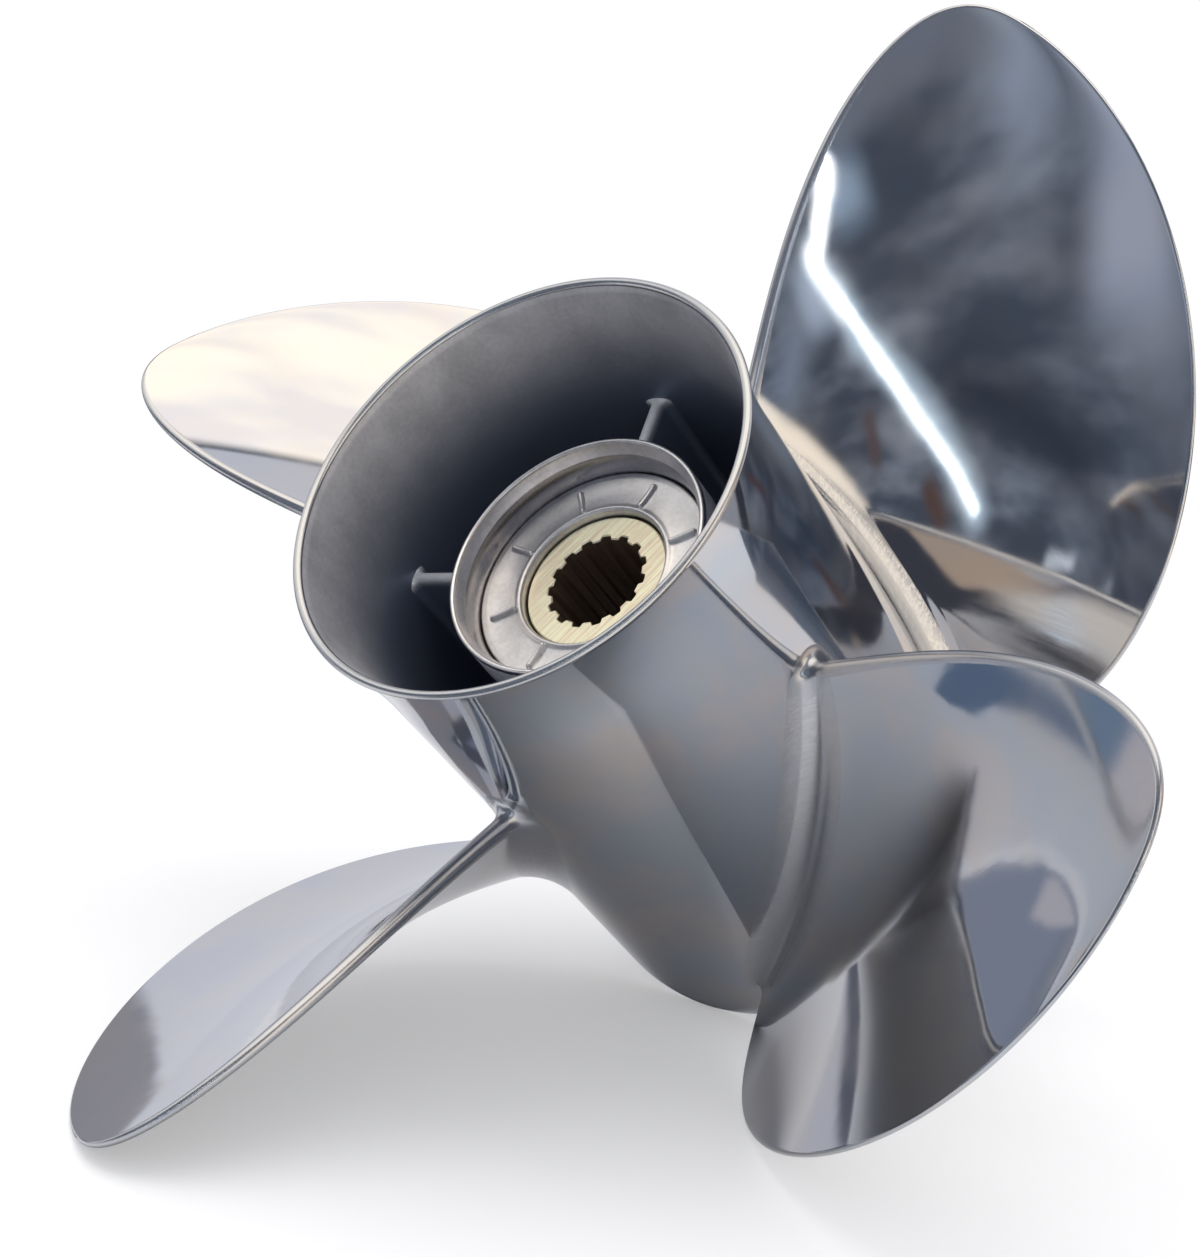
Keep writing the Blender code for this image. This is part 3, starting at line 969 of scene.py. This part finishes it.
@dataclass(frozen=True)
class Webs:
    """The four webs between hub and barrel, flaring into both walls with cast fillets."""

    count: int = 4
    first_deg: float = 70.0
    inner: float = 0.0329
    outer: float = 0.0512
    half_width: float = 0.0014
    aft: float = -0.0377
    front: float = -0.1430
    fillet: float = 0.0022
    fillet_rows: int = 16
    middle_rows: int = 14
    edge_points: int = 15

    def build(self, place: Matrix, finishes: list[bpy.types.Material]) -> list[bpy.types.Object]:
        """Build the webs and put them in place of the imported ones.

        Args:
            place: Matrix from the shaft's frame to the floor's frame.
            finishes: The one finish of the webs.

        Returns:
            The webs, from the first to the last.
        """
        height = self.outer - self.inner
        turn = np.linspace(0.0, math.pi / 2, self.fillet_rows)
        near = self.fillet * (1 - np.cos(turn))
        middle = np.linspace(self.fillet, height - self.fillet, self.middle_rows)[1:-1]
        radius = self.inner + np.concatenate([near, middle, height - near[::-1]])
        spread = np.zeros_like(radius)
        for distance in (radius - self.inner, self.outer - radius):
            reach = np.clip(self.fillet - distance, 0.0, None)
            spread += self.fillet - np.sqrt(np.maximum(self.fillet**2 - reach**2, 0.0))
        half = (self.half_width + spread)[:, None]
        round_turn = np.linspace(0.0, math.pi, self.edge_points)[None, :]
        across = np.concatenate([half * np.cos(round_turn), -half * np.cos(round_turn)], axis=1)
        along = np.concatenate(
            [
                self.aft - self.half_width * (1 - np.sin(round_turn)) + 0 * half,
                self.front + self.half_width * (1 - np.sin(round_turn)) + 0 * half,
            ],
            axis=1,
        )
        radius = radius[:, None]
        webs = []
        for i in range(self.count):
            angle = math.radians(self.first_deg) + math.tau * i / self.count + across / radius
            points = np.stack([radius * np.cos(angle), radius * np.sin(angle), along], axis=-1)
            work = Sheetwork(f"cast_web_{i + 1}")
            work.grid(points, closed_columns=True)
            web = work.build(place, finishes)
            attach(web, "root")
            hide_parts(f"web_{i + 1}")
            webs.append(web)
        return webs


@dataclass(frozen=True)
class EndRing:
    """The ring round the bush, a little dished, with short rounded ridges across it."""

    inner: float = 0.0186
    outer: float = 0.02955
    seat: float = -0.0384
    thickness: float = 0.0030
    ridge_count: int = 8
    ridge_deg: float = 7.0
    ridge_inner: float = 0.0207
    ridge_outer: float = 0.0262
    ridge_half_width: float = 0.00078
    ridge_height: float = 0.0011
    ridge_power: float = 2.6
    bead_radius: float = 0.0194
    bead_width: float = 0.0007
    bead_height: float = 0.0004
    dish_from: float = 0.0200
    dish_width: float = 0.0080
    dish_depth: float = 0.0003
    inner_round_from: float = 0.0192
    inner_drop: float = 0.0007
    outer_round_from: float = 0.0290
    outer_drop: float = 0.0006
    round_width: float = 0.0006
    steepest: float = 0.999
    rows: int = 64
    steps: int = 960

    def rise(self, radius: np.ndarray, angle: np.ndarray) -> np.ndarray:
        """Work out the shape of the top face.

        Args:
            radius: Radius of each row.
            angle: Angle of each point about the shaft.

        Returns:
            Height of each point over the seat.
        """
        bead = self.bead_height * np.exp(-(((radius - self.bead_radius) / self.bead_width) ** 2))
        hollow = np.clip((radius - self.dish_from) / self.dish_width, 0, 1)
        dish = -self.dish_depth * np.sin(hollow * math.pi)
        inward = np.clip((self.inner_round_from - radius) / self.round_width, 0, 1)
        outward = np.clip((radius - self.outer_round_from) / self.round_width, 0, 1)
        inner_edge = self.inner_drop * (1 - np.sqrt(1 - inward**2 * self.steepest))
        outer_edge = self.outer_drop * (1 - np.sqrt(1 - outward**2 * self.steepest))
        step = math.tau / self.ridge_count
        local = (angle - math.radians(self.ridge_deg) + step / 2) % step - step / 2
        side = radius * np.sin(local)
        out = radius * np.cos(local)
        beyond = np.maximum(0.0, np.maximum(self.ridge_inner - out, out - self.ridge_outer))
        away = np.sqrt(side**2 + beyond**2) / self.ridge_half_width
        fall = np.minimum(away, 1.0) ** self.ridge_power
        ridge = self.ridge_height * np.sqrt(np.maximum(0.0, 1 - fall))
        return bead + dish - inner_edge - outer_edge + ridge

    def build(self, place: Matrix, finishes: list[bpy.types.Material]) -> bpy.types.Object:
        """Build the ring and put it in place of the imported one.

        Args:
            place: Matrix from the shaft's frame to the floor's frame.
            finishes: The one finish of the ring.

        Returns:
            The ring.
        """
        angle = np.arange(self.steps)[None, :] * math.tau / self.steps
        radius = np.linspace(self.inner, self.outer, self.rows)[:, None]
        height = self.seat + self.rise(radius, angle)
        top = np.stack(
            [radius * np.cos(angle), radius * np.sin(angle), height + 0 * angle], axis=-1
        )
        foot = []
        for edge in (self.outer, self.inner):
            bottom = np.full_like(angle, self.seat - self.thickness)
            foot.append(np.stack([edge * np.cos(angle), edge * np.sin(angle), bottom], axis=-1))
        work = Sheetwork("ridged_end_ring")
        work.grid(np.concatenate([top, *foot]), closed_rows=True, closed_columns=True)
        ring = work.build(place, finishes, sharp_deg=75)
        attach(ring, "root")
        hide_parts("bush_end_ring")
        return ring


@dataclass(frozen=True)
class SplineBush:
    """The brass bush with its fifteen splines."""

    radius: float = 0.0181
    aft: float = -0.0403
    front: float = -0.1120
    count: int = 15
    major: float = 0.0128
    minor: float = 0.01165
    first_deg: float = 6.0
    groove_fullness: float = 1.15
    edge: float = 0.0003
    face_rows: tuple[float, ...] = (0.25, 0.6)
    # share of the bore, from its aft end, that has the dark brown finish
    dark_bore_share: float = 0.2
    steps: int = 960

    def bore_radius(self, angle: np.ndarray) -> np.ndarray:
        """Return the radius of the splined bore."""
        turn = self.count * (angle - math.radians(self.first_deg))
        groove = smooth_step(0.5 + self.groove_fullness * np.cos(turn))
        return self.minor + (self.major - self.minor) * groove

    def build(self, place: Matrix, finishes: list[bpy.types.Material]) -> bpy.types.Object:
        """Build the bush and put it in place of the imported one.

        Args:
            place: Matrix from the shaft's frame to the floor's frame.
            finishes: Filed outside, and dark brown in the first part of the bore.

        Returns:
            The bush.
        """
        angle = np.arange(self.steps) * math.tau / self.steps
        bore = self.bore_radius(angle)
        outside = np.full_like(bore, self.radius)
        chamfered = outside - self.edge
        dark_bore_end = self.aft * (1.0 - self.dark_bore_share) + self.front * self.dark_bore_share
        rings = []
        marks = []
        for radius, station, mark in (
            (bore, self.front, 0),
            (outside, self.front, 0),
            (outside, self.aft - self.edge, 0),
            (chamfered, self.aft, 0),
            *((chamfered - (outside - bore) * share, self.aft, 0) for share in self.face_rows),
            (bore + self.edge, self.aft, 0),
            (bore, self.aft - self.edge, 1),
            (bore, dark_bore_end, 1),
        ):
            height = np.full_like(angle, station)
            rings.append(np.stack([radius * np.cos(angle), radius * np.sin(angle), height], -1))
            marks.append(mark)
        work = Sheetwork("filed_bush")
        work.grid(np.stack(rings), closed_rows=True, closed_columns=True, finish=np.array(marks))
        bush = work.build(place, finishes, sharp_deg=30)
        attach(bush, "root")
        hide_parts("spline_bush")
        return bush


# Studio


def panel_group() -> bpy.types.NodeTree:
    """Make the group that masks a soft-edged panel in the surround.

    Directions are given as (azimuth, elevation) in degrees, with azimuth 0 towards -Y.

    Returns:
        A group with the output Mask.
    """
    tree = bpy.data.node_groups.new("soft_panel", "ShaderNodeTree")
    face = tree.interface
    for name in ("Direction", "Centre", "Turn", "Half Size", "Inner Edge", "Outer Edge"):
        face.new_socket(name, in_out="INPUT", socket_type="NodeSocketVector")
    face.new_socket("Mask", in_out="OUTPUT", socket_type="NodeSocketFloat")
    wires = Wiring(tree)
    given = wires.add("NodeGroupInput").outputs
    result = wires.add("NodeGroupOutput").inputs
    local = wires.add("ShaderNodeMapping", vector_type="TEXTURE")
    wires.feed(local.inputs["Vector"], given["Direction"])
    wires.feed(local.inputs["Location"], given["Centre"])
    wires.feed(local.inputs["Rotation"], given["Turn"])
    wires.feed(local.inputs["Scale"], given["Half Size"])
    size = wires.vector_maths("ABSOLUTE", local.outputs[0]).outputs[0]
    fade = wires.add(
        "ShaderNodeMapRange", data_type="FLOAT_VECTOR", interpolation_type="SMOOTHSTEP"
    )
    sockets = {socket.identifier: socket for socket in fade.inputs}
    wires.feed(sockets["Vector"], size)
    wires.feed(sockets["From_Min_FLOAT3"], given["Inner Edge"])
    wires.feed(sockets["From_Max_FLOAT3"], given["Outer Edge"])
    sockets["To_Min_FLOAT3"].default_value = (1.0, 1.0, 1.0)
    sockets["To_Max_FLOAT3"].default_value = (0.0, 0.0, 0.0)
    parts = wires.add("ShaderNodeSeparateXYZ")
    wires.feed(parts.inputs[0], fade.outputs["Vector"])
    wires.feed(result["Mask"], wires.maths("MULTIPLY", parts.outputs[0], parts.outputs[1]))
    return tree


@dataclass(frozen=True)
class Panel:
    """A soft panel, flag or strip of the surround that the polished steel mirrors."""

    azimuth: float
    elevation: float
    half_width: float
    half_height: float
    colour: tuple[float, float, float]
    softness: float = 3.0
    tilt_deg: float = 0.0
    seen: Seen = Seen.ALWAYS

    def mask(
        self, wires: "Wiring", group: bpy.types.NodeTree, direction: bpy.types.NodeSocket
    ) -> bpy.types.NodeSocket:
        """Add the panel's mask.

        Args:
            wires: Wiring of the surround.
            group: The soft_panel group.
            direction: Azimuth and elevation of the ray, in degrees.

        Returns:
            The mask, 1 on the panel and 0 away from it.
        """
        node = wires.add("ShaderNodeGroup", node_tree=group)
        wires.feed(node.inputs["Direction"], direction)
        soft = (self.softness / self.half_width, self.softness / self.half_height)
        for name, value in (
            ("Centre", (self.azimuth, self.elevation, 0.0)),
            ("Turn", (0.0, 0.0, math.radians(self.tilt_deg))),
            ("Half Size", (self.half_width, self.half_height, 1.0)),
            ("Inner Edge", (1.0 - soft[0], 1.0 - soft[1], 0.0)),
            ("Outer Edge", (1.0 + soft[0], 1.0 + soft[1], 1.0)),
        ):
            node.inputs[name].default_value = value
        return node.outputs["Mask"]


def between(
    west: float,
    east: float,
    low: float,
    high: float,
    colour: tuple[float, float, float],
    softness: float = 0.5,
) -> Panel:
    """Make an upright panel.

    Args:
        west: Azimuth of its left side, in degrees.
        east: Azimuth of its right side.
        low: Elevation of its foot.
        high: Elevation of its top.
        colour: Its light.
        softness: Half the width of its soft edge, in degrees.

    Returns:
        The panel.
    """
    return Panel(
        (west + east) / 2, (low + high) / 2, (east - west) / 2, (high - low) / 2, colour, softness
    )


@dataclass(frozen=True)
class StudioCamera:
    """The camera, at the photograph's viewing angle."""

    position: tuple[float, float, float] = (0.403477, -0.470276, 0.245571)
    aim: tuple[float, float, float] = (-0.018352, 0.024669, 0.099464)
    roll_deg: float = 2.89
    lens: float = 78.18

    def build(self) -> bpy.types.Object:
        """Make the camera and make it the scene's own.

        Returns:
            The camera.
        """
        data = bpy.data.cameras.new("studio_camera")
        data.sensor_width = 36.0
        data.lens = self.lens
        data.clip_start = 0.01
        camera = bpy.data.objects.new("studio_camera", data)
        look = Vector(self.aim) - Vector(self.position)
        turn = look.to_track_quat("-Z", "Y").to_matrix().to_4x4()
        roll = Matrix.Rotation(math.radians(self.roll_deg), 4, "Z")
        camera.matrix_world = Matrix.Translation(self.position) @ turn @ roll
        bpy.context.scene.collection.objects.link(camera)
        bpy.context.scene.camera = camera
        return camera


@dataclass(frozen=True)
class Studio:
    """A plain pale table, a soft light overhead, and the surround that the steel mirrors."""

    floor_size: float = 1.2
    plain_from: float = 0.20
    plain_to: float = 0.42
    shadow_lift: float = 0.33
    table_tone: float = 0.96
    mirrored_tone: float = 0.72
    table_roughness: float = 0.32
    table_height: float = 0.0001
    mat_height: float = 0.0002
    table: tuple[tuple[float, float], ...] = (
        (-0.20, -0.19), (0.45, -0.19), (0.45, 0.60), (-0.20, 0.60)
    )
    mat: tuple[tuple[float, float], ...] = (
        (0.006, -0.172), (0.045, -0.172), (0.045, -0.130), (0.030, -0.136), (0.012, -0.150),
    )
    mat_colour: tuple[float, float, float] = (0.16, 0.22, 0.32)
    softbox_size: tuple[float, float] = (1.6, 1.2)
    softbox_watts: float = 11.5
    softbox_colour: tuple[float, float, float] = (1.0, 0.98, 0.96)
    softbox_place: tuple[float, float, float] = (-0.15, 0.25, 1.5)
    softbox_lean_deg: tuple[float, float] = (-9.0, -6.0)
    haze_turn_deg: float = -16.0
    haze_scale: tuple[float, float, float] = (0.045, 0.16, 1.0)
    haze_range: tuple[float, float] = (0.38, 0.74)
    ceiling_from: tuple[float, float] = (56.0, 59.0)
    ceiling_patches: float = 5.0
    ceiling_range: tuple[float, float] = (0.38, 0.62)
    ceiling_light: tuple[float, float, float] = (1.75, 1.60, 1.36)
    ceiling_dim: tuple[float, float, float] = (1.42, 1.31, 1.24)
    last_direct_depth: float = 2.5
    fill_colour: tuple[float, float, float] = (0.93, 0.935, 0.96)
    room_colour: tuple[float, float, float] = (0.075, 0.092, 0.125)
    haze_colour: tuple[float, float, float] = (0.29, 0.32, 0.38)
    panels: tuple[Panel, ...] = (
        # behind: the foot of a pale wall, and the wall above it
        between(-181.0, -113.0, -30.0, 4.0, (0.72, 0.73, 0.80), 1.0),
        between(135.0, 181.0, 1.0, 56.0, (0.85, 0.84, 0.85), 2.0),
        between(-181.0, -160.0, 1.0, 56.0, (0.85, 0.84, 0.85), 2.0),
        # left: pale wall, its foot, and the dim doorway in front of it
        between(-163.0, -115.5, 1.0, 56.0, (0.76, 0.765, 0.83)),
        between(-113.0, -101.5, -30.0, 1.0, (0.56, 0.56, 0.62)),
        between(-115.5, -100.0, 1.0, 45.0, (0.34, 0.335, 0.37)),
        between(-101.5, -96.0, -30.0, 6.0, (0.13, 0.135, 0.17), 0.8),
        between(-96.0, -66.0, -30.0, 4.0, (0.26, 0.29, 0.37), 0.8),
        between(-76.0, -30.0, -30.0, -9.0, (0.95, 0.92, 0.93), 1.0),
        between(-98.0, -62.0, 4.5, 36.0, (0.80, 0.79, 0.78), 1.0),
        between(-83.0, -66.0, 1.4, 4.5, (0.53, 0.51, 0.55), 0.4),
        Panel(-70.7, -0.3, 2.8, 2.7, (0.18, 0.25, 0.36), 0.4),
        # high on the left: soft window light that reaches into the hub
        Panel(-65.0, 46.0, 34.0, 15.0, (1.05, 1.03, 1.00), 4.0),
        # right: cream wall with a slanting edge, a dark gap, and tan wood behind it
        Panel(75.0, -4.5, 42.0, 18.0, (1.35, 1.20, 1.02), 1.0, 39.4),
        between(70.0, 112.0, 20.0, 40.0, (1.35, 1.20, 1.02), 2.0),
        between(98.0, 118.0, -30.0, 4.0, (0.10, 0.105, 0.135), 2.0),
        between(118.0, 146.0, -2.0, 22.0, (0.80, 0.62, 0.48), 2.0),
        between(105.0, 119.0, 4.0, 17.0, (0.98, 0.80, 0.62), 2.0),
        Panel(90.0, -8.2, 30.0, 8.0, (0.09, 0.095, 0.12), 1.5, 14.3, Seen.AGAIN),
        Panel(90.0, 8.5, 34.0, 1.3, (1.25, 1.42, 1.55), 1.5, 26.0, Seen.AGAIN),
        # beside the camera: hazy patches of the dim room
        Panel(-9.0, 13.0, 8.0, 4.0, (0.24, 0.265, 0.32), 5.0, 35.0),
        Panel(-5.5, 16.0, 6.5, 4.5, (0.44, 0.48, 0.58), 4.0),
        Panel(3.0, 27.5, 9.0, 3.0, (0.36, 0.41, 0.50), 3.5, -12.0),
        Panel(35.0, 27.0, 3.5, 2.5, (0.36, 0.47, 0.62), 2.5),
        Panel(20.0, 32.0, 18.0, 2.0, (0.20, 0.22, 0.27), 2.5, 5.0),
        Panel(55.0, 17.0, 10.0, 3.0, (0.25, 0.30, 0.38), 4.0, -38.0),
        Panel(10.0, 3.5, 15.0, 3.5, (0.045, 0.055, 0.075), 4.5, 12.0),
        Panel(24.5, -7.5, 4.0, 1.6, (0.12, 0.07, 0.06), 1.5, 45.0),
        Panel(40.5, 1.5, 1.4, 4.0, (0.13, 0.095, 0.10), 1.5, -10.0),
        Panel(-5.0, -7.5, 3.0, 0.6, (0.85, 0.92, 1.00), 0.9, -15.0),
        # the bright strip light beside the camera, with its glow
        Panel(28.0, 3.6, 19.0, 2.0, (0.60, 0.74, 0.88), 2.2, 40.0, Seen.DIRECTLY),
        Panel(42.5, 20.0, 6.0, 2.0, (0.60, 0.74, 0.88), 2.2, 60.0, Seen.DIRECTLY),
        Panel(47.0, 20.5, 3.5, 3.5, (0.50, 0.60, 0.76), 2.5, 0.0, Seen.DIRECTLY),
        Panel(22.3, -2.1, 8.8, 0.6, (4.2, 4.8, 5.2), 0.9, 34.5, Seen.DIRECTLY),
        Panel(33.1, 6.7, 5.6, 0.7, (4.2, 4.8, 5.2), 1.0, 47.0, Seen.DIRECTLY),
        Panel(39.5, 14.5, 5.2, 0.6, (4.6, 5.2, 5.6), 1.1, 57.0, Seen.DIRECTLY),
        Panel(43.8, 21.0, 4.0, 1.0, (3.5, 3.8, 4.1), 1.6, 64.0, Seen.DIRECTLY),
        Panel(40.0, 26.8, 6.0, 0.9, (5.0, 5.2, 5.4), 1.0, -36.0, Seen.DIRECTLY),
    )

    def sheet(
        self, name: str, corners: tuple[tuple[float, float], ...], height: float
    ) -> bpy.types.Object:
        """Lay one flat sheet of the stage.

        Args:
            name: Name of the sheet.
            corners: Its corners, anticlockwise seen from above.
            height: Its height.

        Returns:
            The sheet.
        """
        mesh = bpy.data.meshes.new(name)
        outline = tuple(range(len(corners)))
        mesh.from_pydata([(x, y, height) for x, y in corners], [], [outline])
        sheet = bpy.data.objects.new(name, mesh)
        bpy.context.scene.collection.objects.link(sheet)
        return sheet

    def floor(self) -> None:
        """Lay the table: the sheet that the camera sees, and the smaller top that is mirrored."""
        size = self.floor_size
        square = ((-size, -size), (size, -size), (size, size), (-size, size))
        seen = self.sheet("floor", square, 0.0)
        material, shader = self.table_finish("white_table", self.table_tone)
        wires = Wiring(material.node_tree)
        place = wires.add("ShaderNodeNewGeometry").outputs["Position"]
        away = wires.vector_maths("LENGTH", place).outputs["Value"]
        # the table glows: far off the emission alone makes it plain white, near the propeller a share
        # of it is painted light that lifts the shadows
        plain = wires.add("ShaderNodeEmission")
        join = wires.add("ShaderNodeMixShader")
        lift = wires.remap(away, self.plain_from, self.plain_to, self.shadow_lift)
        wires.feed(join.inputs[0], lift)
        wires.feed(join.inputs[1], shader.outputs[0])
        wires.feed(join.inputs[2], plain.outputs[0])
        wires.feed(material.node_tree.nodes["Material Output"].inputs[0], join.outputs[0])
        seen.data.materials.append(material)
        seen.visible_glossy = False
        top = self.sheet("table_top", self.table, self.table_height)
        top.data.materials.append(self.table_finish("mirrored_table", self.mirrored_tone)[0])
        spot = self.sheet("blue_mat", self.mat, self.mat_height)
        blue = bpy.data.materials.new("blue_mat")
        blue.use_nodes = True
        shader = blue.node_tree.nodes["Principled BSDF"]
        shader.inputs["Base Color"].default_value = (*self.mat_colour, 1.0)
        spot.data.materials.append(blue)
        for sheet in (top, spot):
            sheet.visible_camera = False
            sheet.visible_diffuse = False
            sheet.visible_shadow = False

    def table_finish(
        self, name: str, tone: float
    ) -> tuple[bpy.types.Material, bpy.types.Node]:
        """Make the satin white of the table.

        Args:
            name: Name of the material.
            tone: How light it is.

        Returns:
            The material and its shader.
        """
        material = bpy.data.materials.new(name)
        material.use_nodes = True
        shader = material.node_tree.nodes["Principled BSDF"]
        shader.inputs["Base Color"].default_value = (tone, tone, 1.01 * tone, 1.0)
        shader.inputs["Roughness"].default_value = self.table_roughness
        return material, shader

    def overhead(self) -> bpy.types.Object:
        """Hang the soft light that whitens the table. The steel mirrors the panels instead.

        Returns:
            The light.
        """
        data = bpy.data.lights.new("overhead_softbox", "AREA")
        data.shape = "RECTANGLE"
        data.size, data.size_y = self.softbox_size
        data.energy = self.softbox_watts
        data.color = self.softbox_colour
        light = bpy.data.objects.new("overhead_softbox", data)
        light.location = self.softbox_place
        light.rotation_euler = (*map(math.radians, self.softbox_lean_deg), 0.0)
        light.visible_glossy = False
        bpy.context.scene.collection.objects.link(light)
        return light

    def surround(self) -> None:
        """Build the surround: a dim room, the panels, and plain white for the picture's ground."""
        world = bpy.data.worlds.new("studio")
        bpy.context.scene.world = world
        world.use_nodes = True
        world.cycles.sampling_method = "NONE"
        wires = Wiring(world.node_tree)
        background = world.node_tree.nodes["Background"]
        look = wires.add("ShaderNodeSeparateXYZ")
        outward = wires.add("ShaderNodeTexCoord").outputs["Generated"]
        wires.feed(look.inputs[0], outward)
        back = wires.maths("MULTIPLY", look.outputs[1], -1.0)
        azimuth = wires.maths("DEGREES", wires.maths("ARCTAN2", look.outputs[0], back))
        elevation = wires.maths("DEGREES", wires.maths("ARCSINE", look.outputs[2]))
        direction = wires.add("ShaderNodeCombineXYZ")
        wires.feed(direction.inputs[0], azimuth)
        wires.feed(direction.inputs[1], elevation)
        stretched = wires.add("ShaderNodeMapping")
        wires.feed(stretched.inputs["Vector"], direction.outputs[0])
        stretched.inputs["Rotation"].default_value = (0.0, 0.0, math.radians(self.haze_turn_deg))
        stretched.inputs["Scale"].default_value = self.haze_scale
        haze = wires.noise(stretched.outputs[0], scale=1.0, detail=3.0, roughness=0.55)
        haze = wires.remap(haze, *self.haze_range)
        colour = wires.blend(haze, (*self.room_colour, 1.0), (*self.haze_colour, 1.0))
        ceiling = wires.remap(elevation, *self.ceiling_from)
        patchy = wires.remap(wires.noise(outward, self.ceiling_patches), *self.ceiling_range)
        overhead = wires.blend(patchy, (*self.ceiling_light, 1.0), (*self.ceiling_dim, 1.0))
        colour = wires.blend(ceiling, colour, overhead)
        group = panel_group()
        path = wires.add("ShaderNodeLightPath")
        first = wires.maths("LESS_THAN", path.outputs["Ray Depth"], self.last_direct_depth)
        shares = {Seen.DIRECTLY: first, Seen.AGAIN: wires.maths("SUBTRACT", 1.0, first)}
        for panel in self.panels:
            mask = panel.mask(wires, group, direction.outputs[0])
            if panel.seen in shares:
                mask = wires.maths("MULTIPLY", mask, shares[panel.seen])
            colour = wires.blend(mask, colour, (*panel.colour, 1.0))
        colour = wires.blend(path.outputs["Is Diffuse Ray"], colour, (*self.fill_colour, 1.0))
        white = wires.blend(path.outputs["Is Camera Ray"], colour, (1.0, 1.0, 1.0, 1.0))
        wires.feed(background.inputs["Color"], white)


def main() -> None:
    """Build every piece of the propeller, the floor, the lights and the camera."""
    logging.basicConfig(level=logging.INFO, format="%(message)s")
    bpy.context.scene.view_settings.view_transform = "Standard"
    place = RestingPlace().matrix()
    polish = polish_group()
    grain = grain_group()
    steel = PolishedSteel("polished_steel_finish", (0.59, 0.61, 0.65), 0.035).make(polish)
    barrel = PolishedSteel(
        "polished_barrel_finish",
        (0.56, 0.60, 0.66),
        0.05,
        warm=(0.68, 0.63, 0.61),
        ground_colour=(0.60, 0.61, 0.63),
    ).make(polish)
    # painted shade: the barrel's cast inside, and the webs and the hub's outside, darken with depth
    cast = CastSteel(
        "cast_barrel_finish", (0.58, 0.585, 0.62), 0.5, 0.75, fade_from=-0.004, fade_to=-0.040
    ).make(grain)
    web = CastSteel(
        "cast_web_finish", (0.86, 0.87, 0.92), 0.45, 0.45, fade_from=-0.0378, fade_to=-0.0410
    ).make(grain)
    lip = CastSteel("machined_steel_finish", (0.86, 0.85, 0.86), 0.3, grain_height=1e-5).make(grain)
    bored = CastSteel("bored_steel_finish", (0.48, 0.47, 0.48), 0.2, grain_height=1e-5).make(grain)
    ring = CastSteel("satin_ring_finish", (0.80, 0.79, 0.80), 0.36, grain_height=1e-5).make(grain)
    brass = FiledMetal("filed_brass_finish", (1.0, 0.82, 0.61), 0.36, 0.85).make(grain)
    # the bore's dark brown finish, much darker than the filed brass
    dark_bore = FiledMetal(
        "dark_bore_finish", (0.10, 0.066, 0.045), 0.5, 0.4, mark_size=(0.0012, 0.0012, 0.03)
    ).make(grain)
    rubber = CastSteel("black_rubber_finish", (0.02, 0.02, 0.02), 0.7, 0.0).make(grain)
    pieces: list[bpy.types.Object] = [Barrel().build(place, [barrel, cast])]
    pieces += Blades().build(place, [steel])
    pieces.append(HubTube().build(place, [lip, web, bored]))
    pieces += Webs().build(place, [web])
    pieces.append(EndRing().build(place, [ring]))
    pieces.append(SplineBush().build(place, [brass, dark_bore]))
    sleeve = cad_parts["rubber_sleeve"]
    sleeve.data.materials.clear()
    sleeve.data.materials.append(rubber)
    for piece in pieces:
        LOG.info("%s: %d faces", piece.name, len(piece.data.polygons))
    StudioCamera().build()
    studio = Studio()
    studio.floor()
    studio.overhead()
    studio.surround()


if __name__ == "__main__":
    main()
